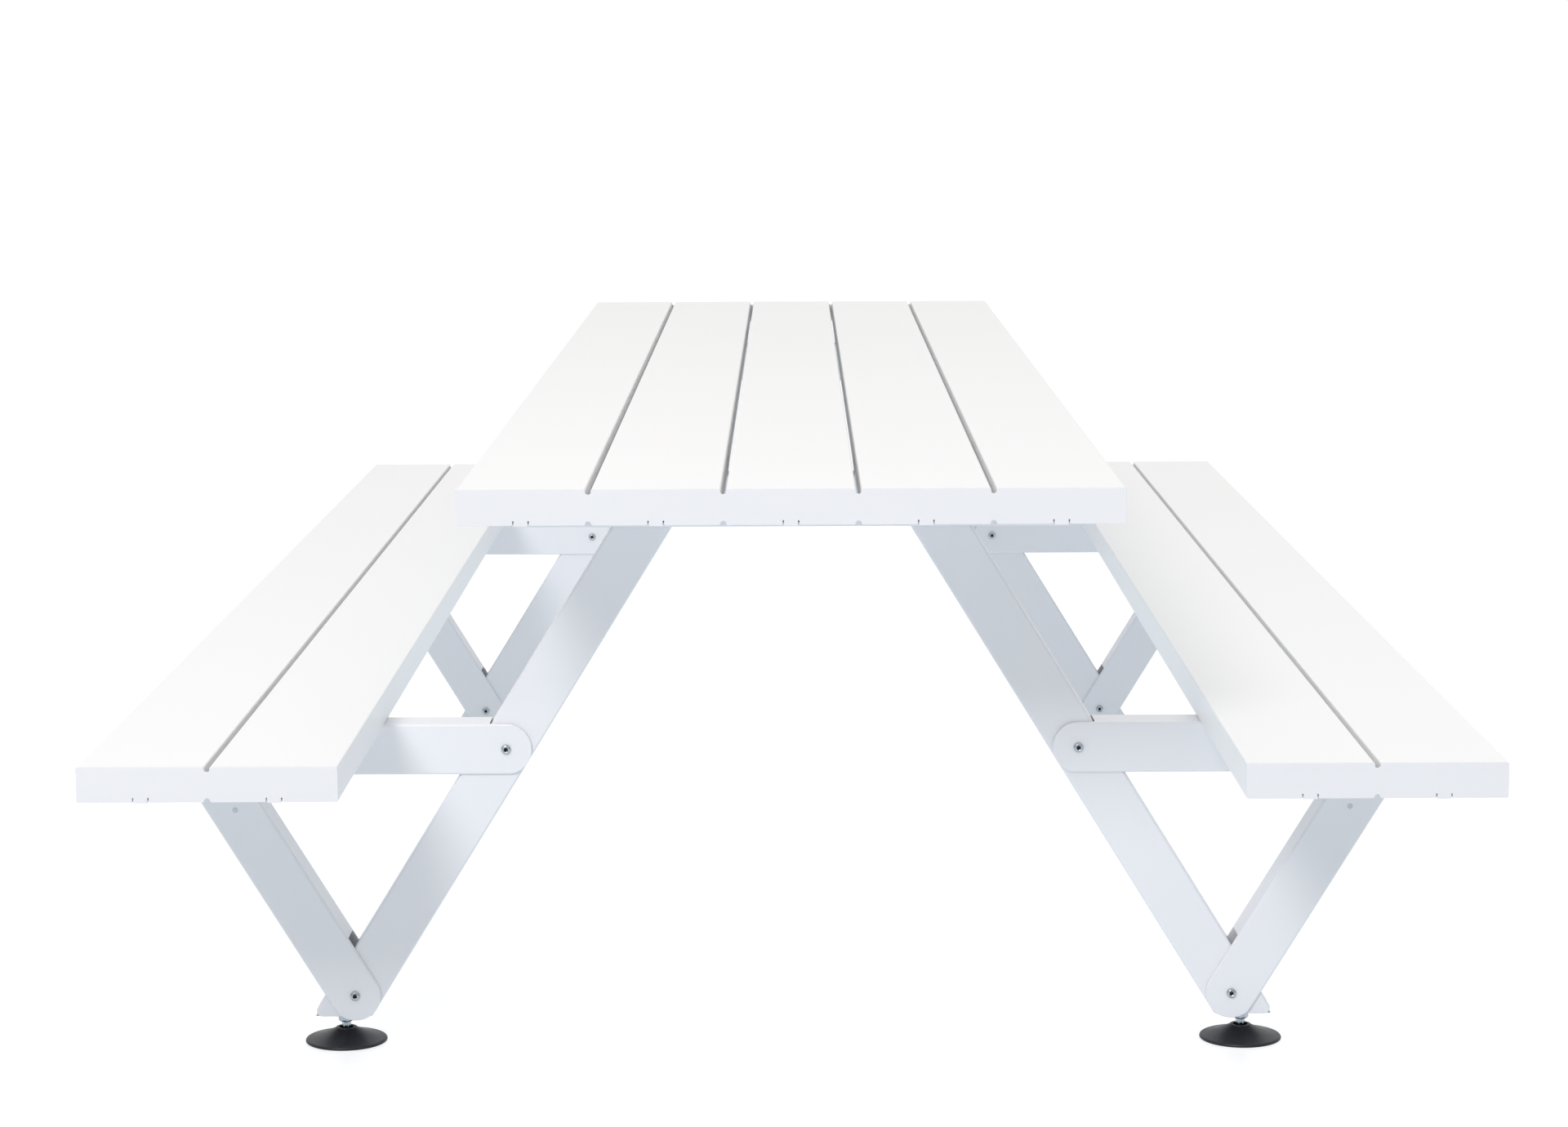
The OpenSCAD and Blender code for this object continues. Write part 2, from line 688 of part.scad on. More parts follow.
crossbar(1);  // rear_crossbar
crossbar_plugs();
leg(-1, -1);  // front_left_leg
leg(1, -1);  // front_right_leg
leg(-1, 1);  // rear_left_leg
leg(1, 1);  // rear_right_leg
arm(-1, -1);  // front_left_arm
arm(1, -1);  // front_right_arm
arm(-1, 1);  // rear_left_arm
arm(1, 1);  // rear_right_arm
arm_plugs();
strut(-1, -1);  // front_left_strut
strut(1, -1);  // front_right_strut
strut(-1, 1);  // rear_left_strut
strut(1, 1);  // rear_right_strut
strut_head(-1, -1);  // front_left_strut_head
strut_head(1, -1);  // front_right_strut_head
strut_head(-1, 1);  // rear_left_strut_head
strut_head(1, 1);  // rear_right_strut_head
strut_head_pins();
foot_insert(-1, -1);  // front_left_foot_insert
foot_insert(1, -1);  // front_right_foot_insert
foot_insert(-1, 1);  // rear_left_foot_insert
foot_insert(1, 1);  // rear_right_foot_insert
foot_bushes();
foot_lock_nuts();
stud(-1, -1);  // front_left_stud
stud(1, -1);  // front_right_stud
stud(-1, 1);  // rear_left_stud
stud(1, 1);  // rear_right_stud
pad(-1, -1);  // front_left_pad
pad(1, -1);  // front_right_pad
pad(-1, 1);  // rear_left_pad
pad(1, 1);  // rear_right_pad
crossbar_bolts();
arm_bolts();
foot_bolts();
strut_bolts();
lock_nuts();
bolt_sleeves();
plank_screws();
slot_nuts();
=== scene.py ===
"""White aluminium picnic table: the looks of its planks, caps, frames, fasteners and levelling feet.

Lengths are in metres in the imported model's frame: +Z up, Y along the planks, the ground at z = 0.
"""
import json
import math

import bmesh
import bpy
from mathutils import Matrix, Vector


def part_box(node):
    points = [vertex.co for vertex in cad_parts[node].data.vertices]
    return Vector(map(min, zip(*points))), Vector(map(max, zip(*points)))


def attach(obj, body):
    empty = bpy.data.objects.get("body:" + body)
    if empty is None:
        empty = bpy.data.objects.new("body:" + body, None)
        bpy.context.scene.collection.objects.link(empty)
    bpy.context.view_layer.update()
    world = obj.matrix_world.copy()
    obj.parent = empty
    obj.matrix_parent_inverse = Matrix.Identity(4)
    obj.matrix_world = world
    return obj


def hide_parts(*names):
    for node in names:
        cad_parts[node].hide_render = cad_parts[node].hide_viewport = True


MM = 0.001

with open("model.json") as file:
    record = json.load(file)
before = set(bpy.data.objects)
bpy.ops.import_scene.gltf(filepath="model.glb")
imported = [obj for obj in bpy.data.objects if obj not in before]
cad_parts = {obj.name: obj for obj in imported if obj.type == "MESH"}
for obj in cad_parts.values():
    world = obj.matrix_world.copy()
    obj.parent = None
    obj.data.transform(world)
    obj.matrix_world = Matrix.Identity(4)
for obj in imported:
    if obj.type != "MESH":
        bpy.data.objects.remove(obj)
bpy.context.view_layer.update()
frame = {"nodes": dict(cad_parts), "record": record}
record = frame["record"]
scene = bpy.context.scene
NODE_SLOT = {part["node"]: part["material_slot"] for part in record["subparts"]}
NODE_BODY = {node: body for body, nodes in record["behaviour"]["bodies"].items() for node in nodes}
CORNERS = [f"{end}_{side}" for end in ("front", "rear") for side in ("left", "right")]


# ---- Finishes ----

class Value:
    """One output of a shader node. Arithmetic on it adds Math nodes to its tree."""

    def __init__(self, tree, socket=None):
        self.tree = tree
        self.socket = socket

    def node(self, kind, inputs=None, settings=None, output=0):
        """Adds any node: its settings are set first, then the values or links of its sockets."""
        made = self.tree.nodes.new("ShaderNode" + kind)
        for name, value in (settings or {}).items():
            setattr(made, name, value)
        for name, value in (inputs or {}).items():
            if isinstance(value, Value):
                self.tree.links.new(value.socket, made.inputs[name])
            else:
                made.inputs[name].default_value = value
        return Value(self.tree, made.outputs[output])

    def math(self, operation, a, b=0.0):
        return self.node("Math", {0: a, 1: b}, {"operation": operation})

    def at_least(self, floor):
        return self.math("MAXIMUM", self, floor)

    def __add__(self, other):
        return self.math("ADD", self, other)

    def __radd__(self, other):
        return self.math("ADD", other, self)

    def __sub__(self, other):
        return self.math("SUBTRACT", self, other)

    def __rsub__(self, other):
        return self.math("SUBTRACT", other, self)

    def __mul__(self, other):
        return self.math("MULTIPLY", self, other)

    def __rmul__(self, other):
        return self.math("MULTIPLY", other, self)

    def mix(self, dark, light):
        """A colour between two, by this value from 0 to 1."""
        sockets = {"Factor": self, 6: (*dark, 1), 7: (*light, 1)}
        return self.node("Mix", sockets, {"data_type": "RGBA"}, output=2)


class Finish:
    """A material whose pattern is laid out in the object's own metres."""

    def __init__(self, name, **constants):
        self.material = bpy.data.materials.new(name)
        self.material.use_nodes = True
        tree = self.material.node_tree
        self.base = Value(tree)
        self.shader = tree.nodes["Principled BSDF"]
        self.place = self.base.node("TexCoord", output="Object")
        for socket, value in constants.items():
            self.shader.inputs[socket.replace("_", " ").title().replace("Ior", "IOR")].default_value = value

    def noise(self, size, detail=2.0, stretch=(1, 1, 1), roughness=0.5):
        """Soft noise whose features are about size across, drawn out along an axis by stretch."""
        scale = tuple(1 / s for s in stretch)
        where = self.base.node("Mapping", {"Vector": self.place, "Scale": scale})
        sockets = {"Vector": where, "Scale": 1 / size, "Detail": detail, "Roughness": roughness}
        return self.base.node("TexNoise", sockets, output="Fac")

    def feed(self, socket, value):
        self.material.node_tree.links.new(value.socket, self.shader.inputs[socket])

    def relief(self, height, depth, strength=1.0):
        """Bump from a height of 0 to 1 that stands for depth in metres."""
        sockets = {"Height": height, "Distance": depth, "Strength": strength}
        self.feed("Normal", self.base.node("Bump", sockets))


def powder_coat(name, shade, light, roughness):
    """Satin powder coat: a faint orange peel over a fine grain, and a slow drift in tone."""
    coat = Finish(name, coat_roughness=0.22, ior=1.5)
    peel = coat.noise(2.6 * MM, detail=1.0)
    grain = coat.noise(0.5 * MM, detail=1.0)
    drift = coat.noise(0.35, detail=2.0)
    coat.feed("Base Color", (drift * 0.7 + grain * 0.3).mix(shade, light))
    coat.feed("Roughness", roughness + (grain - 0.5) * 0.10 + (drift - 0.5) * 0.08)
    coat.feed("Coat Weight", 0.10 + drift * 0.10)
    coat.relief(peel * 0.75 + grain * 0.25, 0.05 * MM)
    return coat.material


def plank_coat():
    """The planks' coat also shows the die's long faint lines through it."""
    coat = Finish("plank_coat", coat_roughness=0.25, ior=1.5)
    peel = coat.noise(2.2 * MM, detail=1.0)
    grain = coat.noise(0.45 * MM, detail=1.0)
    die_lines = coat.noise(3.5 * MM, detail=3.0, stretch=(1, 400, 1))
    drift = coat.noise(0.4, detail=2.0, stretch=(1, 3, 1))
    tone = drift * 0.6 + die_lines * 0.2 + grain * 0.2
    coat.feed("Base Color", tone.mix((0.86, 0.86, 0.86), (0.90, 0.90, 0.90)))
    coat.feed("Roughness", 0.42 + (grain - 0.5) * 0.10 + (die_lines - 0.5) * 0.10)
    coat.feed("Coat Weight", 0.06 + drift * 0.08)
    coat.relief(peel * 0.5 + die_lines * 0.35 + grain * 0.15, 0.05 * MM)
    return coat.material


def cap_plastic():
    """Moulded white plastic with the fine grain of a spark-eroded mould."""
    plastic = Finish("cap_plastic", ior=1.46)
    grain = plastic.noise(0.35 * MM, detail=2.0)
    flow = plastic.noise(0.06, detail=2.0, stretch=(4, 1, 1))
    plastic.feed("Base Color", (flow * 0.7 + grain * 0.3).mix((0.80, 0.80, 0.82), (0.85, 0.85, 0.87)))
    plastic.feed("Roughness", 0.52 + (grain - 0.5) * 0.14 + (flow - 0.5) * 0.06)
    plastic.relief(grain, 0.03 * MM)
    return plastic.material


def zinc_plate():
    """Bright zinc plate: metal with a slight bluish or straw tint that wanders over it."""
    zinc = Finish("zinc_steel", metallic=1.0)
    tint = zinc.noise(5 * MM, detail=2.0)
    fine = zinc.noise(0.3 * MM, detail=2.0)
    zinc.feed("Base Color", tint.mix((0.40, 0.46, 0.53), (0.58, 0.59, 0.58)))
    zinc.feed("Roughness", 0.20 + fine * 0.14)
    zinc.relief(fine, 0.02 * MM)
    return zinc.material


def painted_socket_shade():
    """Painted shade for the bottom of a key socket: near-black metal that stands in for the shade in the
    recess.
    """
    steel = Finish("painted_socket_shade", metallic=0.6)
    # The mottle only varies the painted socket shade between two near-black tones.
    shade_mottle = steel.noise(1.2 * MM, detail=2.0)
    steel.feed("Base Color", shade_mottle.mix((0.012, 0.012, 0.014), (0.05, 0.05, 0.055)))
    steel.feed("Roughness", 0.35 + shade_mottle * 0.25)
    steel.relief(shade_mottle, 0.03 * MM)
    return steel.material


def cast_aluminium():
    """Tumbled casting: a pebbly skin with duller hollows."""
    casting = Finish("cast_aluminium", metallic=0.9)
    skin = casting.noise(0.9 * MM, detail=3.0)
    casting.feed("Base Color", skin.mix((0.55, 0.56, 0.58), (0.72, 0.73, 0.75)))
    casting.feed("Roughness", 0.62 - skin * 0.20)
    casting.relief(skin, 0.08 * MM)
    return casting.material


def insert_plastic():
    """Glass-filled plastic: short pale fibres just under a grey skin."""
    plastic = Finish("insert_plastic", ior=1.48)
    fibres = plastic.noise(0.4 * MM, detail=2.0, stretch=(1, 5, 1))
    plastic.feed("Base Color", fibres.mix((0.38, 0.39, 0.41), (0.50, 0.51, 0.53)))
    plastic.feed("Roughness", 0.50 + fibres * 0.15)
    plastic.relief(fibres, 0.02 * MM)
    return plastic.material


def black_pad():
    """Black moulded pad: near-black, matt, with a fine grain and faint flow marks from the gate."""
    pad = Finish("black_pad", ior=1.45)
    grain = pad.noise(0.5 * MM, detail=2.0)
    flow = pad.noise(12 * MM, detail=3.0)
    pad.feed("Base Color", (flow * 0.6 + grain * 0.4).mix((0.008, 0.008, 0.010), (0.020, 0.020, 0.024)))
    pad.feed("Roughness", 0.40 + (grain - 0.5) * 0.16 + (flow - 0.5) * 0.10)
    pad.relief(grain, 0.04 * MM)
    return pad.material


FINISHES = {
    "plank_coat": plank_coat(),
    "cap_plastic": cap_plastic(),
    "frame_coat": powder_coat("frame_coat", (0.80, 0.80, 0.825), (0.84, 0.84, 0.865), 0.33),
    "cast_aluminium": cast_aluminium(),
    "zinc_steel": zinc_plate(),
    "insert_plastic": insert_plastic(),
    "black_pad": black_pad(),
}
# Painted shade: this near-black material goes on the faces marked as the inside of key sockets.
RECESS = painted_socket_shade()


# ---- Making pieces ----

def hand_over(piece, node, *more):
    """Gives a finished piece its node's finish, body and slot, in place of that node."""
    if not piece.data.materials:
        piece.data.materials.append(FINISHES[NODE_SLOT[node]])
    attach(piece, NODE_BODY[node])
    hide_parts(node, *more)
    return piece


def new_piece(name, mesh):
    piece = bpy.data.objects.new(name, mesh)
    scene.collection.objects.link(piece)
    return piece


def plain_copy(piece):
    """The piece's mesh with its modifiers carried out."""
    bpy.context.view_layer.update()
    graph = bpy.context.evaluated_depsgraph_get()
    mesh = bpy.data.meshes.new_from_object(piece.evaluated_get(graph), depsgraph=graph)
    piece.modifiers.clear()
    piece.data = mesh
    return piece


def smooth_by_angle(mesh, degrees=32):
    mesh.shade_smooth()
    mesh.set_sharp_from_angle(angle=math.radians(degrees))


def eased(node, radius, segments=2):
    """A copy of a CAD node whose sharp edges are eased by a radius, as coating and moulding leave them."""
    bm = bmesh.new()
    bm.from_mesh(frame["nodes"][node].data)
    bmesh.ops.remove_doubles(bm, verts=bm.verts, dist=MM / 200)
    bmesh.ops.dissolve_limit(bm, angle_limit=math.radians(0.5), verts=bm.verts, edges=bm.edges)
    mesh = bpy.data.meshes.new(node + "_finished")
    bm.to_mesh(mesh)
    bm.free()
    piece = new_piece(node + "_finished", mesh)
    mesh.shade_smooth()
    edge = piece.modifiers.new("eased edges", "BEVEL")
    edge.width = radius
    edge.segments = segments
    edge.limit_method = "ANGLE"
    edge.angle_limit = math.radians(40)
    edge.use_clamp_overlap = False
    flats = piece.modifiers.new("flats stay flat", "WEIGHTED_NORMAL")
    flats.mode = "FACE_AREA"
    flats.weight = 100
    return hand_over(plain_copy(piece), node)


def solids(node):
    """The box of each separate solid in a CAD node, as its lowest and highest corners."""
    bm = bmesh.new()
    bm.from_mesh(frame["nodes"][node].data)
    bmesh.ops.remove_doubles(bm, verts=bm.verts, dist=MM / 200)
    left = set(bm.verts)
    boxes = []
    while left:
        reached = {left.pop()}
        edge = list(reached)
        while edge:
            near = {e.other_vert(v) for v in edge for e in v.link_edges} & left
            left -= near
            reached |= near
            edge = list(near)
        low = Vector([min(v.co[i] for v in reached) for i in range(3)])
        high = Vector([max(v.co[i] for v in reached) for i in range(3)])
        boxes.append((low, high))
    bm.free()
    return sorted(boxes, key=lambda box: tuple(box[0]))


SOCKET_MARK = "in_socket"


def circle(radius):
    return lambda angle, z: radius


def hexagon(flats, corner_limit=1.0):
    """A hexagon's radius at an angle, its corners turned off at corner_limit."""
    def radius(angle, z):
        from_flat = angle % (math.pi / 3) - math.pi / 6
        return min(flats / 2 / math.cos(from_flat), corner_limit)
    return radius


def thread(major, pitch):
    """A single-start thread's radius: a helix, worked out from the angle and the height."""
    depth = 0.55 * pitch
    def radius(angle, z):
        phase = (z / pitch - angle / (2 * math.pi)) % 1
        return major - depth * abs(2 * phase - 1)
    return radius


def threaded(major, pitch, low, high, rows=8):
    """Rings of a threaded stretch, from low to high."""
    count = max(2, round((high - low) / pitch * rows))
    return [(low + (high - low) * i / count, thread(major, pitch)) for i in range(count + 1)]


def turned(name, rings, segments=48, bored=False, socket_rings=0):
    """A closed solid about Z from rings of (height, radius by angle).

    Its ends are capped flat, or a bored one's last ring is joined to its first. The first
    cap and the faces between the first socket_rings are marked as the inside of a key socket.
    """
    bm = bmesh.new()
    in_socket = bm.faces.layers.int.new(SOCKET_MARK)
    loops = []
    for z, radius in rings:
        loop = []
        for i in range(segments):
            angle = 2 * math.pi * i / segments
            r = radius(angle, z)
            loop.append(bm.verts.new((r * math.cos(angle), r * math.sin(angle), z)))
        loops.append(loop)
    for ring, (a, b) in enumerate(zip(loops, loops[1:] + (loops[:1] if bored else [])), start=1):
        for i in range(segments):
            j = (i + 1) % segments
            bm.faces.new((a[i], a[j], b[j], b[i]))[in_socket] = ring < socket_rings
    if not bored:
        bm.faces.new(loops[0][::-1])[in_socket] = socket_rings > 0
        bm.faces.new(loops[-1])
    bmesh.ops.recalc_face_normals(bm, faces=bm.faces)
    mesh = bpy.data.meshes.new(name)
    bm.to_mesh(mesh)
    bm.free()
    smooth_by_angle(mesh)
    return mesh


def arc(centre_r, centre_z, radius, start, end, steps=5):
    """Rings along a rounded corner; angles in degrees from the outward direction."""
    rings = []
    for i in range(steps + 1):
        a = math.radians(start + (end - start) * i / steps)
        rings.append((centre_z + radius * math.sin(a), circle(centre_r + radius * math.cos(a))))
    return rings


# ---- Fasteners ----

SOCKET_FLATS = 5 * MM
SOCKET_DEPTH = 3.0 * MM
BOLT_PITCH = 1.25 * MM
BOLT_HEAD_H = 4 * MM
BOLT_R = 4 * MM
BOLT_CROWN = 0.6 * MM
SCREW_HEAD_H = 5 * MM
SCREW_SOCKET_FLATS = 6 * MM
SCREW_SOCKET_DEPTH = 2.8 * MM
TIP_CHAMFER = 1.0 * MM
NUT_COLLAR = 2.6 * MM
FOOT_PITCH = 1.5 * MM
ALONG_Y = Matrix.Rotation(math.radians(-90), 4, "X")      # turns +Z to +Y


def button_bolt(box):
    """Domed socket-head bolt with its axis along Z and its head's crown at z = 0."""
    low, high = box
    head_r = (high.x - low.x) / 2
    length = high.y - low.y
    mouth = SOCKET_FLATS / 2 + 0.75 * MM
    rings = [(SOCKET_DEPTH, hexagon(SOCKET_FLATS)), (0.45 * MM, hexagon(SOCKET_FLATS))]
    rings += [(0.12 * MM, circle(mouth))]
    dome_steps = 8
    for i in range(dome_steps + 1):
        a = math.radians(90 * i / dome_steps)
        rise = (BOLT_HEAD_H - BOLT_CROWN) * (1 - math.cos(a))
        rings.append((rise, circle(mouth + 0.2 * MM + (head_r - mouth - 0.2 * MM) * math.sin(a))))
    rings += [(BOLT_HEAD_H, circle(head_r)), (BOLT_HEAD_H, circle(BOLT_R))]
    rings += threaded(BOLT_R, BOLT_PITCH, length - 10 * MM, length - 0.6 * MM)
    rings += [(length, circle(BOLT_R - TIP_CHAMFER))]
    return turned("button_bolt", rings, socket_rings=2)


def nut_rings(flats, bore, hex_h):
    """Outer rings of a hexagon with its corners turned off at both faces."""
    face_r = flats / 2 - 0.2 * MM
    corner = flats / 2 / math.cos(math.pi / 6) - 0.15 * MM
    half_turned = (face_r + corner) / 2
    chamfer = 0.09 * flats
    return [
        (0, circle(bore)), (0, circle(face_r)),
        (chamfer / 2, hexagon(flats, half_turned)), (chamfer, hexagon(flats, corner)),
        (hex_h - chamfer, hexagon(flats, corner)), (hex_h - chamfer / 2, hexagon(flats, half_turned)),
        (hex_h, circle(face_r)),
    ]


def lock_nut(box):
    """Prevailing-torque nut: chamfered hexagon, round collar and a nylon ring's lip."""
    low, high = box
    flats = min(high.x - low.x, high.z - low.z)
    height = high.y - low.y
    bore = 4.05 * MM
    collar_r = flats / 2 - 0.9 * MM
    hex_h = height - NUT_COLLAR
    rings = nut_rings(flats, bore, hex_h) + [(hex_h, circle(collar_r))]
    rings += arc(collar_r - 1.2 * MM, height - 1.2 * MM, 1.2 * MM, 0, 80)
    rings += [(height - 0.3 * MM, circle(bore + 0.5 * MM)), (height - 1.4 * MM, circle(bore))]
    return turned("lock_nut", rings, 48, bored=True)


def foot_nut(box):
    """Plain hexagon nut on a foot's stud, with its thread countersunk at both faces."""
    low, high = box
    flats = min(high.x - low.x, high.y - low.y)
    height = high.z - low.z
    bore = 5.05 * MM
    sink = 0.6 * MM
    rings = [(sink, circle(bore))] + nut_rings(flats, bore + sink, height)
    rings += [(height, circle(bore + sink)), (height - sink, circle(bore))]
    return turned("foot_nut", rings, 60, bored=True)


def plank_screw(box):
    """Low cylinder-head screw, its head's face at z = 0, with a rounded rim and a hexagon socket."""
    low, high = box
    head_r = (high.x - low.x) / 2
    length = high.z - low.z
    rim = 0.7 * MM
    socket = hexagon(SCREW_SOCKET_FLATS)
    mouth = SCREW_SOCKET_FLATS / 2 + 0.9 * MM
    rings = [(SCREW_SOCKET_DEPTH, socket), (0.5 * MM, socket), (0, circle(mouth))]
    rings += arc(head_r - rim, rim, rim, -90, 0)
    rings += [(SCREW_HEAD_H, circle(head_r)), (SCREW_HEAD_H, circle(BOLT_R))]
    rings += threaded(BOLT_R, BOLT_PITCH, SCREW_HEAD_H + 0.6 * MM, length - 0.6 * MM, rows=6)
    rings += [(length, circle(BOLT_R - TIP_CHAMFER))]
    return turned("plank_screw", rings, 36, socket_rings=2)


LAYOUT_SOCKETS = (
    ("Fastener", "Object"), ("Finish", "Material"), ("Socket painted shade", "Material"),
    ("Largest turn", "Vector"), ("Seed", "Int"),
)


def layout_tree():
    """Geometry nodes that set one fastener at each place, each turned differently about its axis."""
    tree = bpy.data.node_groups.new("fastener layout", "GeometryNodeTree")
    tree.interface.new_socket("Places", in_out="INPUT", socket_type="NodeSocketGeometry")
    inputs = {}
    for label, kind in LAYOUT_SOCKETS:
        socket = tree.interface.new_socket(label, in_out="INPUT", socket_type="NodeSocket" + kind)
        inputs[label] = socket.identifier
    tree.interface.new_socket("Pieces", in_out="OUTPUT", socket_type="NodeSocketGeometry")
    start = tree.nodes.new("NodeGroupInput")
    info = tree.nodes.new("GeometryNodeObjectInfo")
    turn = tree.nodes.new("FunctionNodeRandomValue")
    spread = tree.nodes.new("GeometryNodeInstanceOnPoints")
    real = tree.nodes.new("GeometryNodeRealizeInstances")
    paint = tree.nodes.new("GeometryNodeSetMaterial")
    marked = tree.nodes.new("GeometryNodeInputNamedAttribute")
    # Second material: painted shade on the faces marked as inside a key socket.
    line = tree.nodes.new("GeometryNodeSetMaterial")
    end = tree.nodes.new("NodeGroupOutput")
    turn.data_type = "FLOAT_VECTOR"
    marked.data_type = "INT"
    marked.inputs["Name"].default_value = SOCKET_MARK
    join = tree.links.new
    join(start.outputs["Fastener"], info.inputs["Object"])
    join(start.outputs["Largest turn"], turn.inputs["Max"])
    join(start.outputs["Seed"], turn.inputs["Seed"])
    join(start.outputs["Places"], spread.inputs["Points"])
    join(info.outputs["Geometry"], spread.inputs["Instance"])
    join(turn.outputs["Value"], spread.inputs["Rotation"])
    join(spread.outputs["Instances"], real.inputs["Geometry"])
    join(real.outputs["Geometry"], paint.inputs["Geometry"])
    join(start.outputs["Finish"], paint.inputs["Material"])
    join(paint.outputs["Geometry"], line.inputs["Geometry"])
    join(marked.outputs["Attribute"], line.inputs["Selection"])
    join(start.outputs["Socket painted shade"], line.inputs["Material"])
    join(line.outputs["Geometry"], end.inputs["Pieces"])
    return tree, inputs


LAYOUT, LAYOUT_INPUTS = layout_tree()


def fasteners(node, make, seed, along="Y"):
    """A detailed fastener in place of each solid in a CAD node, its axis along Y or Z."""
    boxes = solids(node)
    mesh = make(boxes[0])
    if along == "Y":
        mesh.transform(ALONG_Y)
        places = [((low.x + high.x) / 2, low.y, (low.z + high.z) / 2) for low, high in boxes]
    else:
        places = [((low.x + high.x) / 2, (low.y + high.y) / 2, low.z) for low, high in boxes]
    template = new_piece(node + "_template", mesh)
    cloud = bpy.data.meshes.new(node + "_places")
    cloud.from_pydata(places, [], [])
    piece = new_piece(node + "_finished", cloud)
    layout = piece.modifiers.new("layout", "NODES")
    layout.node_group = LAYOUT
    largest_turn = Vector([math.tau * (axis == along) for axis in "XYZ"])
    # RECESS is the painted shade for the key sockets.
    values = (template, FINISHES[NODE_SLOT[node]], RECESS, largest_turn, seed)
    for (label, _), value in zip(LAYOUT_SOCKETS, values):
        layout[LAYOUT_INPUTS[label]] = value
    plain_copy(piece)
    bpy.data.objects.remove(template)
    smooth_by_angle(piece.data)
    return hand_over(piece, node)


# ---- Levelling feet ----

HEX_FLATS = 10 * MM
BALL_R = 6 * MM
NECK_R = 3.5 * MM
PAD_NECK_R = 12 * MM
RECESS_R = 9 * MM
FACET = 0.8 * MM


def in_place(name, mesh, box):
    """A turned mesh set upright on the middle of a box's floor."""
    low, high = box
    mesh.transform(Matrix.Translation(((low.x + high.x) / 2, (low.y + high.y) / 2, low.z)))
    return new_piece(name, mesh)


def foot_stud(corner):
    """Ball-ended stud: ball, neck, hexagon for the spanner and a rolled thread with a pointed tip."""
    node = corner + "_stud"
    low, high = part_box(node)
    length = high.z - low.z
    hex_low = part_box(corner + "_pad")[1].z - low.z
    hex_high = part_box("foot_lock_nuts")[0].z - low.z - 0.5 * MM
    corner_r = HEX_FLATS / 2 / math.cos(math.pi / 6) - 0.1 * MM
    steps = 16
    rings = []
    for i in range(1, steps + 1):
        a = math.radians(-90 + (90 + 54.3) * i / steps)
        rings.append((BALL_R + BALL_R * math.sin(a), circle(BALL_R * math.cos(a))))
    rings += [(hex_low - FACET, circle(NECK_R)), (hex_low, circle(HEX_FLATS / 2 - 0.3 * MM))]
    rings += [(z, hexagon(HEX_FLATS, corner_r)) for z in (hex_low + FACET, hex_high - FACET)]
    rings += [(hex_high, circle(HEX_FLATS / 2 - 0.3 * MM)), (hex_high, circle(4.1 * MM))]
    rings += threaded(5 * MM, FOOT_PITCH, hex_high + 0.8 * MM, length - 1.2 * MM)
    rings += [(length, circle(3.6 * MM))]
    return hand_over(in_place(node + "_finished", turned(node, rings, 48), (low, high)), node)


def foot_pad(corner):
    """Moulded pad: rounded rim, a long flare up to a soft-edged neck, and the socket for the ball."""
    node = corner + "_pad"
    low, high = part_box(node)
    rim_r = (high.x - low.x) / 2
    height = high.z - low.z
    ball_z = height / 2
    rim_h = 4 * MM
    lip = 0.9 * MM
    flare_from, flare_to = rim_r - 2.2 * MM, PAD_NECK_R + lip
    hollow = 1.2 * MM
    rings = [(hollow, circle(rim_r - 12 * MM)), (hollow, circle(rim_r - 5 * MM))]
    rings += [(0, circle(rim_r - 4.2 * MM))]
    rings += arc(rim_r - 1.4 * MM, 1.4 * MM, 1.4 * MM, -90, 0)
    rings += arc(rim_r - 2.4 * MM, rim_h - 2.4 * MM, 2.4 * MM, 0, 62, 6)
    start_z = rings[-1][0]
    flare_steps = 14
    for i in range(1, flare_steps + 1):
        t = i / flare_steps
        r = flare_from + (flare_to - flare_from) * t
        rings.append((start_z + (height - lip - start_z) * (0.55 * t + 0.45 * t * t), circle(r)))
    rings += arc(PAD_NECK_R, height - lip, lip, 30, 90, 4)
    retainer_top = ball_z + BALL_R / 2 + 2 * MM
    rings += [(height, circle(RECESS_R + 0.5 * MM)), (height - 0.5 * MM, circle(RECESS_R))]
    rings += [(retainer_top, circle(RECESS_R)), (retainer_top, circle(4.8 * MM))]
    socket_r = BALL_R + 0.1 * MM
    socket_steps = 10
    for i in range(socket_steps):
        a = math.radians(38 - (38 + 86) * i / socket_steps)
        rings.append((ball_z + socket_r * math.sin(a), circle(socket_r * math.cos(a))))
    return hand_over(in_place(node + "_finished", turned(node, rings, 120), (low, high)), node)


# ---- The table ----

COAT_EDGE = 0.5 * MM
MOULD_EDGE = 0.4 * MM
CORNER_TUBES = [f"{corner}_{tube}" for corner in CORNERS for tube in ("leg", "arm", "strut")]
CAPS = [n for n in frame["nodes"] if "_cap_" in n]

for tube in ["front_crossbar", "rear_crossbar"] + CORNER_TUBES:
    eased(tube, COAT_EDGE)
for cap in CAPS + ["crossbar_plugs", "arm_plugs"]:
    eased(cap, MOULD_EDGE)
for seed, bolts in enumerate(("crossbar_bolts", "arm_bolts", "foot_bolts", "strut_bolts")):
    fasteners(bolts, button_bolt, seed)
fasteners("lock_nuts", lock_nut, 7)
fasteners("foot_lock_nuts", foot_nut, 3, along="Z")
fasteners("plank_screws", plank_screw, 5, along="Z")
for corner in CORNERS:
    foot_stud(corner)
    foot_pad(corner)

for node, piece in frame["nodes"].items():
    piece.data.materials.clear()
    piece.data.materials.append(FINISHES[NODE_SLOT[node]])


# ---- Studio ----

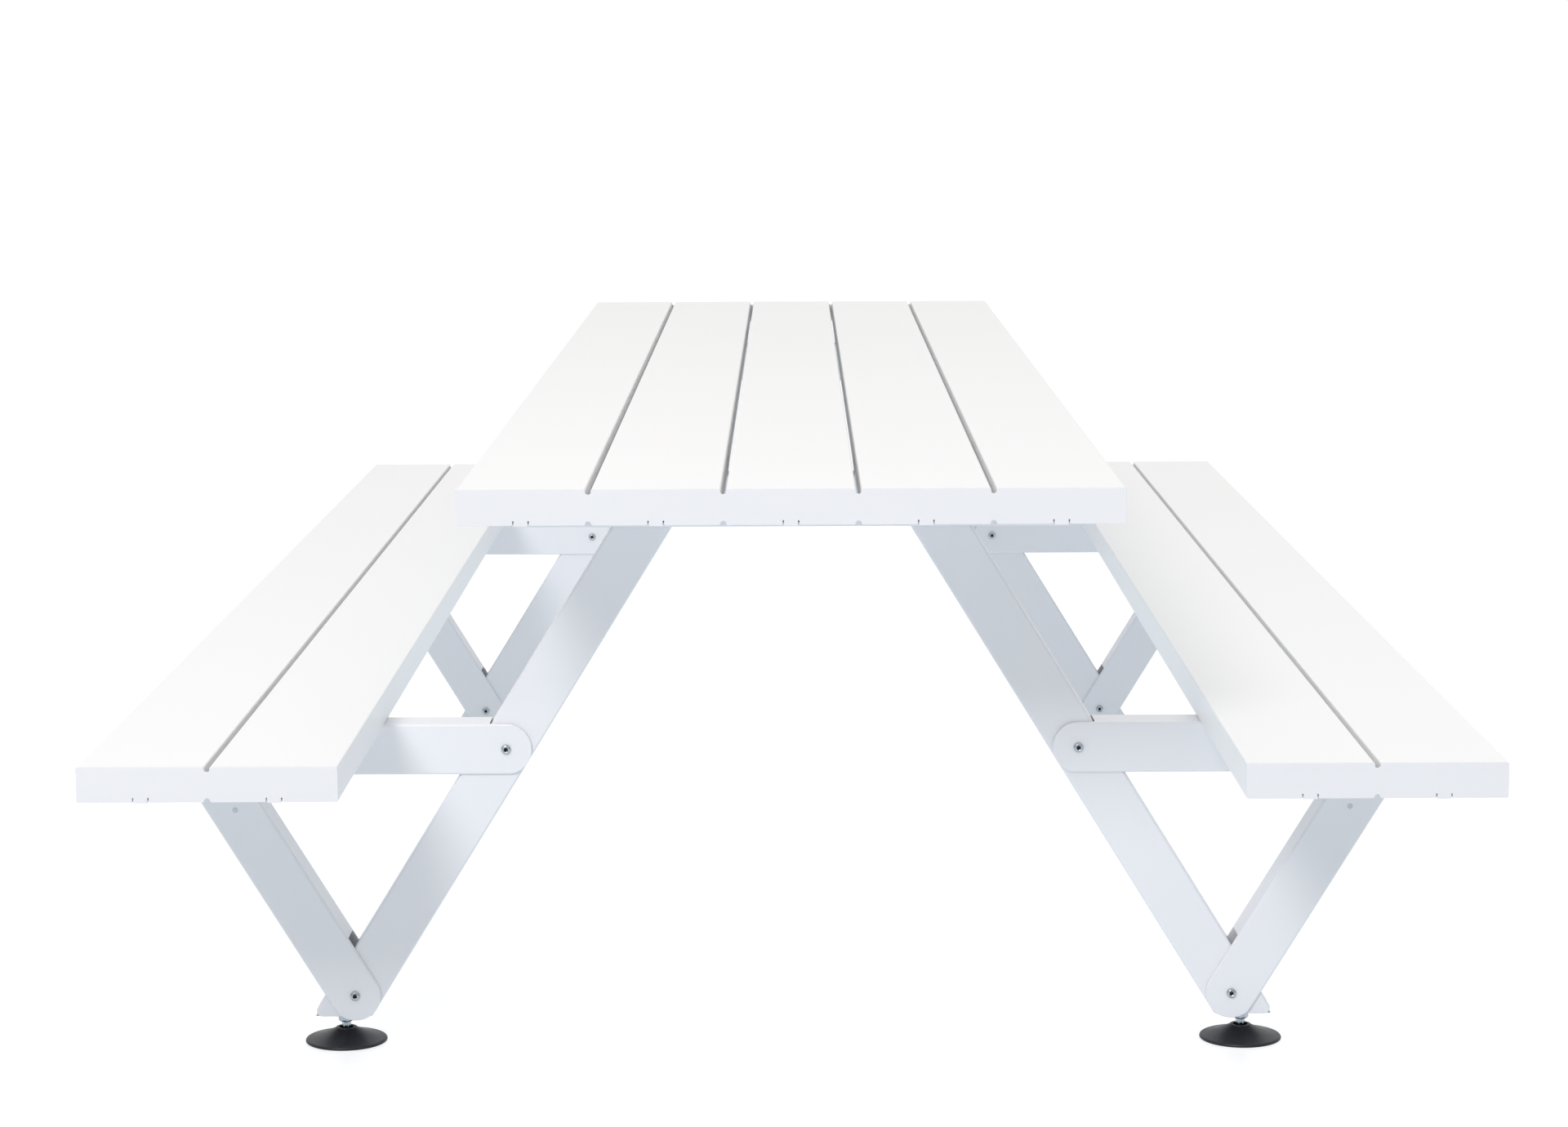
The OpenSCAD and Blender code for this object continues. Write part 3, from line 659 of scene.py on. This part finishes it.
LENS = 83.3
CAMERA_AT = Vector((0.0025, -5.290, 1.209))
PITCH, YAW, ROLL = (math.radians(a) for a in (8.13, -0.152, -0.237))
FLOOR_GLOW = (0.62, 0.69, 0.75)
FLOOR_SEEN = (0.74, 0.74, 0.75)
FILL_LEVEL = 0.10
FILL_RISE = 0.98
FILL_BEHIND = 0.60
FILL_TINT = (1.0, 0.995, 0.99)
BACKDROP_LEVEL = 1.05
KEY_AIM = Vector((0, -0.7, 0.4))
KEY_DISTANCE = 9.0
KEY_AZIMUTH, KEY_ELEVATION = -20, 34.6
KEY_WIDTH, KEY_HEIGHT = 2.3, 2.1
KEY_POWER = 300
KEY_COLOUR = (1.0, 0.975, 0.985)
FLOOR_HALF = 40


def from_compass(azimuth, elevation):
    """Unit direction towards a light: azimuth in degrees from the front end, negative to the left."""
    a, e = math.radians(azimuth), math.radians(elevation)
    return Vector((math.sin(a) * math.cos(e), -math.cos(a) * math.cos(e), math.sin(e)))


def aim_camera():
    """The view down the length of the table, from beyond its front end and above its top."""
    forward = Vector((math.sin(YAW) * math.cos(PITCH), math.cos(YAW) * math.cos(PITCH), -math.sin(PITCH)))
    right = Vector((math.cos(YAW), -math.sin(YAW), 0))
    up = right.cross(forward)
    x = math.cos(ROLL) * right + math.sin(ROLL) * up
    y = math.cos(ROLL) * up - math.sin(ROLL) * right
    data = bpy.data.cameras.new("view")
    data.lens = LENS
    data.sensor_width = 36
    data.sensor_fit = "HORIZONTAL"
    data.clip_end = 200
    camera = bpy.data.objects.new("view", data)
    camera.matrix_world = Matrix.Translation(CAMERA_AT) @ Matrix((x, y, -forward)).transposed().to_4x4()
    scene.collection.objects.link(camera)
    scene.camera = camera


def soft_light(name, at, towards, width, height, power, colour):
    """A rectangular area light at a place, facing a point."""
    data = bpy.data.lights.new(name, "AREA")
    data.shape = "RECTANGLE"
    data.size = width
    data.size_y = height
    data.energy = power
    data.color = colour
    lamp = bpy.data.objects.new(name, data)
    lamp.location = at
    lamp.rotation_euler = (Vector(towards) - Vector(at)).to_track_quat("-Z", "Y").to_euler()
    scene.collection.objects.link(lamp)


def white_floor():
    """A pale floor lit from below, so that it stays white and takes only faint shadows."""
    floor = Finish("studio_floor", roughness=0.3, ior=1.3, emission_strength=1.0)
    tone = floor.noise(1.5, detail=2.0)
    floor.feed("Base Color", tone.mix((0.24, 0.24, 0.24), (0.26, 0.26, 0.26)))
    seen = floor.base.node("LightPath", output="Is Camera Ray")
    floor.feed("Emission Color", seen.mix(FLOOR_GLOW, FLOOR_SEEN))
    bm = bmesh.new()
    bmesh.ops.create_grid(bm, x_segments=1, y_segments=1, size=FLOOR_HALF)
    mesh = bpy.data.meshes.new("floor")
    bm.to_mesh(mesh)
    bm.free()
    plane = new_piece("floor", mesh)
    mesh.materials.append(floor.material)


def studio_air():
    """White surroundings to the eye, and a cooler, softer fill, brightest overhead and beyond the far end."""
    world = bpy.data.worlds.new("studio")
    scene.world = world
    world.use_nodes = True
    tree = world.node_tree
    tree.nodes.clear()
    base = Value(tree)
    where = base.node("TexCoord", output="Generated")
    height = base.node("SeparateXYZ", {"Vector": where}, output="Z")
    behind = base.node("SeparateXYZ", {"Vector": where}, output="Y").at_least(0.0)
    fill = FILL_LEVEL + height * FILL_RISE + behind * FILL_BEHIND
    seen = base.node("LightPath", output="Is Camera Ray")
    level = fill + seen * (BACKDROP_LEVEL - fill)
    background = base.node("Background", {"Color": seen.mix(FILL_TINT, (1, 1, 1)), "Strength": level})
    tree.links.new(background.socket, tree.nodes.new("ShaderNodeOutputWorld").inputs["Surface"])


aim_camera()
white_floor()
studio_air()
key_at = KEY_AIM + KEY_DISTANCE * from_compass(KEY_AZIMUTH, KEY_ELEVATION)
soft_light("key", key_at, KEY_AIM, KEY_WIDTH, KEY_HEIGHT, KEY_POWER, KEY_COLOUR)
scene.view_settings.view_transform = "Standard"
